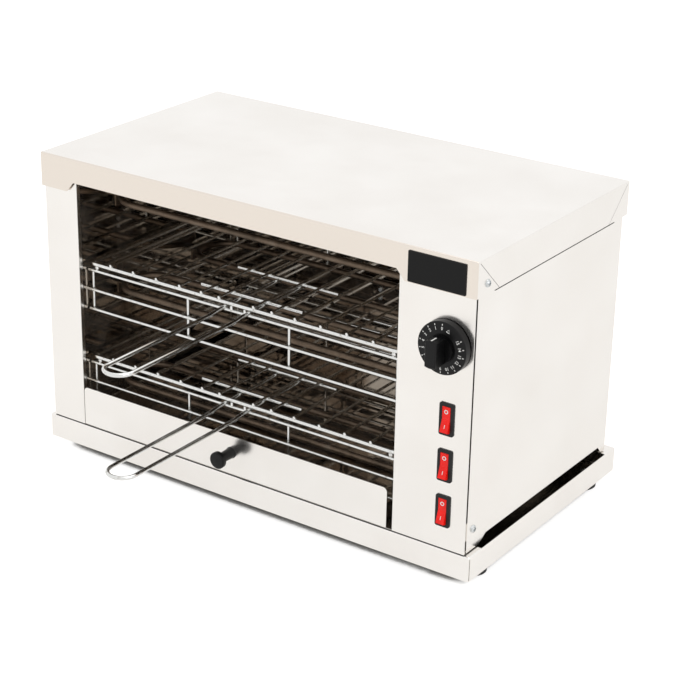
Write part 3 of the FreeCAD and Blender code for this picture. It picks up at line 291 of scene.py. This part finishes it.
# Chromium-plated mild steel wire: a hard bright mirror with fine drawing lines and specks of baked grease
wireFacts = {
    "colour": "#E2E2E0",
    "speck": "#A9A29A",
    "speckSize": 5.0,
    "roughLow": 0.08,
    "roughHigh": 0.2,
}
plateWire, tree = newMaterial("chromePlatedWire")
where = addNode(tree, "ShaderNodeTexCoord")
specks = addNode(tree, "ShaderNodeTexNoise", {"Scale": perMetre(wireFacts["speckSize"]), "Detail": 4.0,
                                              "Roughness": 0.7}, {"Vector": where.outputs["Object"]})
colour = addNode(tree, "ShaderNodeValToRGB",
                 {"ramp": [(0.56, wireFacts["colour"]), (0.74, wireFacts["speck"])]}, {0: specks.outputs[0]})
rough = addNode(tree, "ShaderNodeMapRange",
                {"From Min": 0.4, "From Max": 0.7, "To Min": wireFacts["roughLow"],
                 "To Max": wireFacts["roughHigh"]}, {0: specks.outputs[0]})
steel = addNode(tree, "ShaderNodeBsdfPrincipled", {"Metallic": 1.0},
                {"Base Color": colour.outputs[0], "Roughness": rough.outputs[0]})
addNode(tree, "ShaderNodeOutputMaterial", {}, {"Surface": steel.outputs[0]})

# Nickel-alloy element sheath, oxidised by firing: dull brown-black with greyer rubbed patches
sheathFacts = {
    "dark": "#4A4238",
    "brown": "#746455",
    "grey": "#857A6D",
    "patch": 22.0,
    "pit": 0.9,
    "roughLow": 0.38,
    "roughHigh": 0.55,
    "bump": 0.3,
    "bumpDepth": 0.05,
    "metal": 0.85,         # the oxide film dulls the metal
}
firedSheath, tree = newMaterial("oxidisedElementSheath")
where = addNode(tree, "ShaderNodeTexCoord")
patches = addNode(tree, "ShaderNodeTexNoise", {"Scale": perMetre(sheathFacts["patch"]), "Detail": 6.0,
                                               "Roughness": 0.66}, {"Vector": where.outputs["Object"]})
pits = addNode(tree, "ShaderNodeTexNoise", {"Scale": perMetre(sheathFacts["pit"]), "Detail": 2.0},
               {"Vector": where.outputs["Object"]})
colour = addNode(tree, "ShaderNodeValToRGB",
                 {"ramp": [(0.3, sheathFacts["dark"]), (0.75, sheathFacts["grey"]),
                           (0.55, sheathFacts["brown"])]}, {0: patches.outputs[0]})
rough = addNode(tree, "ShaderNodeMapRange",
                {"From Min": 0.3, "From Max": 0.7, "To Min": sheathFacts["roughLow"],
                 "To Max": sheathFacts["roughHigh"]}, {0: patches.outputs[0]})
relief = addNode(tree, "ShaderNodeBump", {"Strength": sheathFacts["bump"],
                                          "Distance": sheathFacts["bumpDepth"] * mm},
                 {"Height": pits.outputs[0]})
sheath = addNode(tree, "ShaderNodeBsdfPrincipled", {"Metallic": sheathFacts["metal"]},
                 {"Base Color": colour.outputs[0], "Roughness": rough.outputs[0],
                  "Normal": relief.outputs[0]})
addNode(tree, "ShaderNodeOutputMaterial", {}, {"Surface": sheath.outputs[0]})


# Plated, turned and pressed small parts share one plan: a metal with a fine mottle of its own
def smallMetal(name, bright, dull, spot, roughLow, roughHigh):
    material, tree = newMaterial(name)
    where = addNode(tree, "ShaderNodeTexCoord")
    mottle = addNode(tree, "ShaderNodeTexNoise", {"Scale": perMetre(spot), "Detail": 4.0},
                     {"Vector": where.outputs["Object"]})
    colour = addNode(tree, "ShaderNodeValToRGB", {"ramp": [(0.4, bright), (0.7, dull)]},
                     {0: mottle.outputs[0]})
    rough = addNode(tree, "ShaderNodeMapRange", {"From Min": 0.35, "From Max": 0.7, "To Min": roughLow,
                                                 "To Max": roughHigh}, {0: mottle.outputs[0]})
    relief = addNode(tree, "ShaderNodeBump", {"Strength": 0.15, "Distance": 0.03 * mm},
                     {"Height": mottle.outputs[0]})
    metal = addNode(tree, "ShaderNodeBsdfPrincipled", {"Metallic": 1.0},
                    {"Base Color": colour.outputs[0], "Roughness": rough.outputs[0],
                     "Normal": relief.outputs[0]})
    addNode(tree, "ShaderNodeOutputMaterial", {}, {"Surface": metal.outputs[0]})
    return material


zincPlate = smallMetal("zincPlatedScrew", "#D9DCDF", "#B6B9B4", 1.6, 0.2, 0.38)  # bluish, passivated
turnedBrass = smallMetal("turnedBrass", "#D6B45F", "#A88A4B", 2.2, 0.22, 0.4)    # yellow, going dull


# Moulded parts share one plan: a plain colour, a fine grain from the mould and a little dust in the hollows.
# The blacks have a lower index than the real ones, so that they render as dark as in the photograph.
dustSpread = 14  # how many grains wide a patch of dust is


def moulded(name, colourCode, dustCode, grain, roughLow, roughHigh, bump, index):
    material, tree = newMaterial(name)
    where = addNode(tree, "ShaderNodeTexCoord")
    skin = addNode(tree, "ShaderNodeTexNoise", {"Scale": perMetre(grain), "Detail": 3.0},
                   {"Vector": where.outputs["Object"]})
    dust = addNode(tree, "ShaderNodeTexNoise",
                   {"Scale": perMetre(grain * dustSpread), "Detail": 5.0, "Roughness": 0.7},
                   {"Vector": where.outputs["Object"]})
    colour = addNode(tree, "ShaderNodeValToRGB", {"ramp": [(0.5, colourCode), (0.85, dustCode)]},
                     {0: dust.outputs[0]})
    rough = addNode(tree, "ShaderNodeMapRange", {"From Min": 0.3, "From Max": 0.7, "To Min": roughLow,
                                                 "To Max": roughHigh}, {0: dust.outputs[0]})
    relief = addNode(tree, "ShaderNodeBump", {"Strength": bump, "Distance": 0.05 * mm},
                     {"Height": skin.outputs[0]})
    plastic = addNode(tree, "ShaderNodeBsdfPrincipled", {"IOR": index},
                      {"Base Color": colour.outputs[0], "Roughness": rough.outputs[0],
                       "Normal": relief.outputs[0]})
    addNode(tree, "ShaderNodeOutputMaterial", {}, {"Surface": plastic.outputs[0]})
    return material


# black, half gloss
phenolic = moulded("mouldedPhenolic", "#070708", "#131313", 0.5, 0.26, 0.4, 0.15, 1.32)
# black, dry
glassNylon = moulded("mouldedGlassNylon", "#1C1D1E", "#2A2B2B", 0.35, 0.42, 0.58, 0.3, 1.36)
# matt, dusty
footRubber = moulded("mouldedNitrileRubber", "#1B1B1B", "#3A3936", 0.8, 0.6, 0.8, 0.4, 1.5)
# cream, unglazed
steatite = moulded("firedSteatite", "#EDE7DA", "#D3C9B6", 0.7, 0.45, 0.6, 0.25, 1.5)
# flat, glossy
blackPlate = moulded("blackLacqueredPlate", "#050505", "#0D0D0D", 0.6, 0.14, 0.26, 0.05, 1.3)
# dark, soft: painted shade, for the strips that stand for shadow gaps
shadowGapDark = moulded("paintedShadowGapDark", "#1F1B18", "#332D28", 0.6, 0.5, 0.7, 0.2, 1.45)
# dry, opaque
printInk = moulded("whitePrintInk", "#F4F4F1", "#DFDED9", 0.3, 0.45, 0.6, 0.1, 1.5)

# Clear red polycarbonate: glossy skin, and a slight painted glow from below, as if a lamp were lit inside,
# though none is
rockerFacts = {
    "colour": "#EC140B",
    "deep": "#D60E07",
    # painted glow: emission on a part that has no lamp in it
    "paintedGlow": "#FF1E0C",
    "paintedGlowStrength": 0.2,
    "cloud": 9.0,
    "roughLow": 0.2,
    "roughHigh": 0.32,
    "index": 1.42,
    "scatter": 0.25,
    "scatterDepth": 1.5,
}
redRocker, tree = newMaterial("redPolycarbonate")
where = addNode(tree, "ShaderNodeTexCoord")
cloud = addNode(tree, "ShaderNodeTexNoise", {"Scale": perMetre(rockerFacts["cloud"]), "Detail": 2.0},
                {"Vector": where.outputs["Object"]})
colour = addNode(tree, "ShaderNodeValToRGB",
                 {"ramp": [(0.35, rockerFacts["deep"]), (0.65, rockerFacts["colour"])]},
                 {0: cloud.outputs[0]})
rough = addNode(tree, "ShaderNodeMapRange",
                {"To Min": rockerFacts["roughLow"], "To Max": rockerFacts["roughHigh"]},
                {0: cloud.outputs[0]})
lens = addNode(tree, "ShaderNodeBsdfPrincipled",
               {"IOR": rockerFacts["index"], "Subsurface Weight": rockerFacts["scatter"],
                "Subsurface Scale": rockerFacts["scatterDepth"] * mm,
                "Emission Color": linearColour(rockerFacts["paintedGlow"]),
                "Emission Strength": rockerFacts["paintedGlowStrength"]},
               {"Base Color": colour.outputs[0], "Roughness": rough.outputs[0]})
addNode(tree, "ShaderNodeOutputMaterial", {}, {"Surface": lens.outputs[0]})
print("materials made")

# Finishes of the carried-over nodes
finishes = {
    satinAcross: ["control_panel", "back_panel", "crumb_tray_front"],
    satinWarmReflection: ["lid"],
    satinBaseShadedInside: ["base_tray"],
    satinAlong: ["right_side_panel", "side_panel_tabs", "body_floor", "tray_guides"],
    satinUpright: ["left_side_panel", "back_stiffener"],
    linerSheet: ["cavity_left_wall", "cavity_right_wall", "cavity_back_wall", "cavity_ceiling",
                 "crumb_tray_pan"],
    plateWire: ["upper_wire_guard", "lower_wire_guard", "upper_rack_frame", "lower_rack_frame",
                "upper_rack_wires", "lower_rack_wires", "upper_rack_handle", "lower_rack_handle"],
    firedSheath: ["top_elements", "middle_elements", "lower_elements", "element_clips"],
    zincPlate: ["foot_screws", "foot_nuts", "floor_screws", "floor_nuts", "side_panel_screw",
                "back_panel_screws", "lid_screws", "lid_spacers", "back_wall_screws", "crumb_tray_rivets",
                "crumb_tray_knob_screw", "timer_screws", "terminal_block_screws", "timer_shaft"],
    turnedBrass: ["element_bushes", "element_terminals", "switch_tabs"],
    steatite: ["element_insulators", "terminal_block"],
    phenolic: ["crumb_tray_knob", "timer_knob"],
    glassNylon: ["timer_body", "switch_housing_top", "switch_housing_middle", "switch_housing_bottom",
                 "cable_gland", "cable_gland_nut"],
    redRocker: ["rocker_top", "rocker_middle", "rocker_bottom"],
    footRubber: ["feet"],
    blackPlate: ["lid_plate"],
}
for material, names in finishes.items():
    for name in names:
        for holder in nodes[name].material_slots:
            holder.material = material
print("nodes dressed:", sum(len(names) for names in finishes.values()), "of", len(nodes))


def takeUp(piece):
    for thing in bpy.context.selected_objects:
        thing.select_set(False)
    piece.select_set(True)
    bpy.context.view_layer.objects.active = piece


def joined(pieces, name):
    takeUp(pieces[0])
    for piece in pieces:
        piece.select_set(True)
    bpy.ops.object.join()
    whole = bpy.context.object
    whole.name = name
    whole.data.name = name
    return whole


def copied(model, place):
    piece = model.copy()
    piece.data = model.data.copy()
    bpy.context.scene.collection.objects.link(piece)
    piece.data.transform(place)
    return piece


def dropped(model):
    bpy.data.objects.remove(model)


def basis(across, upwards, outwards, origin):
    # a place whose x runs across, y upwards and z out of the surface
    return Matrix.Translation(origin) @ Matrix((across, upwards, outwards)).transposed().to_4x4()


printFacts = {
    "narrow": 0.92,       # the figures' width against the font's own
    "depth": 0.02,        # of the raw extruded text, before it is scaled to its thickness
    "weight": 0.012,      # how much the strokes are fattened
    "merge": 0.0001,
}


def figure(words, height, thickness):
    # printed characters as a thin raised slab round the origin, facing +Z
    bpy.ops.object.text_add(location=(0, 0, 0))
    piece = bpy.context.object
    piece.data.body = words
    piece.data.resolution_u = 3
    piece.data.offset = printFacts["weight"]
    piece.data.extrude = printFacts["depth"]
    takeUp(piece)
    bpy.ops.object.convert(target="MESH")
    piece = bpy.context.object
    bpy.ops.object.mode_set(mode="EDIT")
    bpy.ops.mesh.select_all(action="SELECT")
    bpy.ops.mesh.remove_doubles(threshold=printFacts["merge"])
    bpy.ops.mesh.normals_make_consistent(inside=False)
    bpy.ops.object.mode_set(mode="OBJECT")
    corners = [vertex.co for vertex in piece.data.vertices]
    low = Vector([min(corner[axis] for corner in corners) for axis in range(3)])
    high = Vector([max(corner[axis] for corner in corners) for axis in range(3)])
    size = height / (high.y - low.y)
    squeeze = Matrix.Diagonal((size * printFacts["narrow"], size, thickness / (high.z - low.z), 1))
    piece.data.transform(squeeze @ Matrix.Translation(-(low + high) / 2))
    return piece


def slab(width, height, thickness, easing):
    # a thin raised mark with eased edges round the origin, facing +Z
    bpy.ops.mesh.primitive_plane_add(size=1, location=(0, 0, 0))
    piece = bpy.context.object
    takeUp(piece)
    bpy.ops.object.mode_set(mode="EDIT")
    bpy.ops.mesh.select_all(action="SELECT")
    bpy.ops.transform.resize(value=(width, height, 1))
    bpy.ops.mesh.bevel(offset=easing, segments=2, affect="VERTICES")
    bpy.ops.mesh.select_all(action="SELECT")
    bpy.ops.mesh.extrude_region_move(TRANSFORM_OT_translate={"value": (0, 0, thickness)})
    bpy.ops.mesh.select_all(action="SELECT")
    bpy.ops.transform.translate(value=(0, 0, -thickness / 2))
    bpy.ops.mesh.normals_make_consistent(inside=False)
    bpy.ops.object.mode_set(mode="OBJECT")
    return piece


def ring(outer, inner, thickness, steps):
    # a flat raised ring round the origin, facing +Z
    bpy.ops.mesh.primitive_circle_add(vertices=steps, radius=inner, location=(0, 0, 0))
    piece = bpy.context.object
    takeUp(piece)
    bpy.ops.object.mode_set(mode="EDIT")
    bpy.ops.mesh.select_all(action="SELECT")
    bpy.ops.mesh.extrude_edges_move(TRANSFORM_OT_translate={"value": (0, 0, 0)})
    bpy.ops.transform.resize(value=(outer / inner, outer / inner, 1))
    bpy.ops.mesh.select_all(action="SELECT")
    bpy.ops.mesh.extrude_region_move(TRANSFORM_OT_translate={"value": (0, 0, thickness)})
    bpy.ops.mesh.select_all(action="SELECT")
    bpy.ops.transform.translate(value=(0, 0, -thickness / 2))
    bpy.ops.mesh.normals_make_consistent(inside=False)
    bpy.ops.object.mode_set(mode="OBJECT")
    return piece


# Dial print: sixteen numbers with a tick each, and a small open triangle at the hold position
dial = {
    "centre": (220.6, 224.7),
    "innerRadius": 14.5,
    "innerDepth": -6.6,
    "slope": math.atan2(1.1, 9.6),  # the skirt falls back 1.1 mm over the 9.6 mm of its face
    "numbers": 16,
    "pitch": 20.0,
    "numberRadius": 18.9,
    "numberHeight": 3.0,
    "tickRadius": 22.3,
    "tick": (0.8, 1.5),
    "tickEasing": 0.2,
    "triangleRadius": 18.6,
    "triangle": 2.2,
    "triangleLine": 0.38,
    "proud": 0.12,
}


def onDial(angle, radius):
    turnBy = math.radians(angle)
    slope = dial["slope"]
    depth = dial["innerDepth"] + (radius - dial["innerRadius"]) * math.tan(slope)
    origin = placed(dial["centre"][0] + radius * math.sin(turnBy), depth,
                    dial["centre"][1] + radius * math.cos(turnBy))
    across = Vector((math.cos(turnBy), 0, -math.sin(turnBy)))
    outward = Vector((math.cos(slope) * math.sin(turnBy), math.sin(slope),
                      math.cos(slope) * math.cos(turnBy)))
    return basis(across, outward, across.cross(outward), origin)


marks = []
tickModel = slab(dial["tick"][0] * mm, dial["tick"][1] * mm, dial["proud"] * mm, dial["tickEasing"] * mm)
for number in range(dial["numbers"]):
    angle = -number * dial["pitch"]
    sign = figure(str(number), dial["numberHeight"] * mm, dial["proud"] * mm)
    sign.data.transform(onDial(angle, dial["numberRadius"]))
    marks.append(sign)
    marks.append(copied(tickModel, onDial(angle, dial["tickRadius"])))
dropped(tickModel)
triangleModel = ring(dial["triangle"] * mm, (dial["triangle"] - dial["triangleLine"] * 2) * mm,
                     dial["proud"] * mm, 3)
marks.append(copied(triangleModel, onDial(dial["pitch"], dial["triangleRadius"])))
dropped(triangleModel)
dialPrint = joined(marks, "dialPrint")
dialPrint.data.materials.clear()
dialPrint.data.materials.append(printInk)
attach(dialPrint, "timer")

# Pointer: a white line let into the far end of the grip bar
pointer = {"from": -23.0, "to": -14.6, "width": 1.5, "radius": 13.0, "proud": 0.12, "easing": 0.3}
middle = (pointer["from"] + pointer["to"]) / 2
line = slab(pointer["width"] * mm, (pointer["to"] - pointer["from"]) * mm, pointer["proud"] * mm,
            pointer["easing"] * mm)
line.data.transform(basis((1, 0, 0), (0, 1, 0), (0, 0, 1),
                          placed(dial["centre"][0], middle, dial["centre"][1] + pointer["radius"])))
line.name = "pointerLine"
line.data.materials.append(printInk)
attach(line, "timer")
print("dial printed")

# Rocker marks: a ring on the pressed upper half, a bar on the raised lower half
rockers = {
    "levels": {"top": 154.8, "middle": 109.35, "bottom": 63.9},
    "x": 224.1,
    "frameFront": 1.4,
    "standsOut": 0.2,
    "dip": 1.5,
    "tilt": 9.5,
    "ringAt": 7.4,
    "ring": (2.05, 1.2),
    "barAt": 6.6,
    "bar": (0.6, 3.4),
    "ringSteps": 28,
    "barEasing": 0.15,
    "proud": 0.12,
}
slant = math.radians(rockers["tilt"])
pivot = rockers["frameFront"] - rockers["standsOut"] + rockers["dip"] * math.cos(slant)
for level, height in rockers["levels"].items():
    rest = Matrix.Translation(placed(rockers["x"], pivot, height)) @ Matrix.Rotation(-slant, 4, "X")
    upper = basis((1, 0, 0), (0, -math.sin(slant), math.cos(slant)),
                  (0, -math.cos(slant), -math.sin(slant)),
                  Vector((0, -rockers["dip"] - rockers["ringAt"] * math.sin(slant),
                          rockers["ringAt"] * math.cos(slant))) * mm)
    lower = basis((1, 0, 0), (0, math.sin(slant), math.cos(slant)), (0, -math.cos(slant), math.sin(slant)),
                  Vector((0, -rockers["dip"] - rockers["barAt"] * math.sin(slant),
                          -rockers["barAt"] * math.cos(slant))) * mm)
    zero = ring(rockers["ring"][0] * mm, rockers["ring"][1] * mm, rockers["proud"] * mm,
                rockers["ringSteps"])
    zero.data.transform(rest @ upper)
    bar = slab(rockers["bar"][0] * mm, rockers["bar"][1] * mm, rockers["proud"] * mm,
               rockers["barEasing"] * mm)
    bar.data.transform(rest @ lower)
    marks = joined([zero, bar], "rockerMarks_" + level)
    marks.data.materials.append(printInk)
    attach(marks, level + "_rocker")
print("rockers marked")

# Edge strips, painted shade: thin dark strips draw the dark shadow-gap lines under the lid's side flange
# and along the base's front edge; the left one is by symmetry. It doesn't tell a gap from a seal, so a
# thin dark strip stands for either; the left one is by symmetry.
lidShadowStrip = {"panelFace": 248.0, "out": 1.5, "from": 32.0, "to": 252.0, "top": 274.95, "height": 1.4,
           "easing": 0.3}
for sideName, side in (("left", -1), ("right", 1)):
    strip = slab((lidShadowStrip["to"] - lidShadowStrip["from"]) * mm, lidShadowStrip["height"] * mm, lidShadowStrip["out"] * mm,
                 lidShadowStrip["easing"] * mm)
    strip.data.transform(basis((0, side, 0), (0, 0, 1), (side, 0, 0),
                               placed(side * (lidShadowStrip["panelFace"] + lidShadowStrip["out"] / 2),
                                      (lidShadowStrip["from"] + lidShadowStrip["to"]) / 2,
                                      lidShadowStrip["top"] - lidShadowStrip["height"] / 2)))
    strip.name = "lidShadowGapStrip_" + sideName
    strip.data.materials.append(shadowGapDark)
    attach(strip, "case")
baseShadowStrip = {"front": 3.1, "out": 0.8, "foot": 24.5, "easing": 0.2,
            "runs": ((-247.0, 169.0, 25.5), (169.6, 247.6, 25.95))}  # from, to and top of each
strips = []
for start, stop, top in baseShadowStrip["runs"]:
    strip = slab((stop - start) * mm, (top - baseShadowStrip["foot"]) * mm, baseShadowStrip["out"] * mm,
                 baseShadowStrip["easing"] * mm)
    strip.data.transform(basis((1, 0, 0), (0, 0, 1), (0, -1, 0),
                               placed((start + stop) / 2, baseShadowStrip["front"] + baseShadowStrip["out"] / 2,
                                      (baseShadowStrip["foot"] + top) / 2)))
    strips.append(strip)
baseShadowStrips = joined(strips, "baseShadowGapStrip")
baseShadowStrips.data.materials.append(shadowGapDark)
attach(baseShadowStrips, "case")
# painted shade: the strips above stand for shadow gaps
print("lid and base shadow strips made")

# Spot welds: a small squeezed bead wherever two wires cross
welds = {
    "bead": 1.25,
    "flat": 0.62,
    "rackWires": (20.5, 42.0, 68.8, 97.87, 126.93, 156.0),
    "rackCentre": -18.7,
    "rackLevel": 201.34,
    "rackRods": (15.0, 263.5),
    "shortRods": (38.0, 96.0),
    "shortHalf": 60.5,
    "guardEnds": (16.0, 255.0),
    "guardLevels": (191.8, 171.0, 150.2),
    "guardPosts": (-202.5, -81.33, 39.83, 161.0),
    "railPlaces": (-195.2, 157.8),
    "railLevel": 193.3,
    "half": 1.425,
    "drop": 100.4,           # from the upper level to the lower one
}
bpy.ops.mesh.primitive_ico_sphere_add(subdivisions=2, radius=welds["bead"] * mm, location=(0, 0, 0))
beadModel = bpy.context.object
takeUp(beadModel)
bpy.ops.object.mode_set(mode="EDIT")
bpy.ops.mesh.select_all(action="SELECT")
bpy.ops.transform.resize(value=(1, 1, welds["flat"]))
bpy.ops.object.mode_set(mode="OBJECT")
bpy.ops.object.shade_smooth()
upright = Matrix.Rotation(math.radians(90), 4, "X")
for level, drop in (("upper", 0.0), ("lower", welds["drop"])):
    beads = []
    for offset in welds["rackWires"]:
        for side in (-1, 1):
            rods = welds["rackRods"] + (welds["shortRods"] if offset < welds["shortHalf"] else ())
            for y in rods:
                spot = placed(welds["rackCentre"] + side * offset, y, welds["rackLevel"] - drop)
                beads.append(copied(beadModel, Matrix.Translation(spot)))
    rackWelds = joined(beads, level + "RackWelds")
    rackWelds.data.materials.append(plateWire)
    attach(rackWelds, level + "_rack")
    beads = []
    for y in welds["guardEnds"]:
        for x in welds["railPlaces"]:
            spot = placed(x, y, welds["railLevel"] - drop)
            beads.append(copied(beadModel, Matrix.Translation(spot)))
        inward = 1 if y == welds["guardEnds"][0] else -1
        for x in welds["guardPosts"]:
            for height in welds["guardLevels"]:
                spot = placed(x, y + inward * welds["half"], height - drop)
                beads.append(copied(beadModel, Matrix.Translation(spot) @ upright))
    guardWelds = joined(beads, level + "GuardWelds")
    guardWelds.data.materials.append(plateWire)
    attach(guardWelds, "case")
dropped(beadModel)
print("welds set")
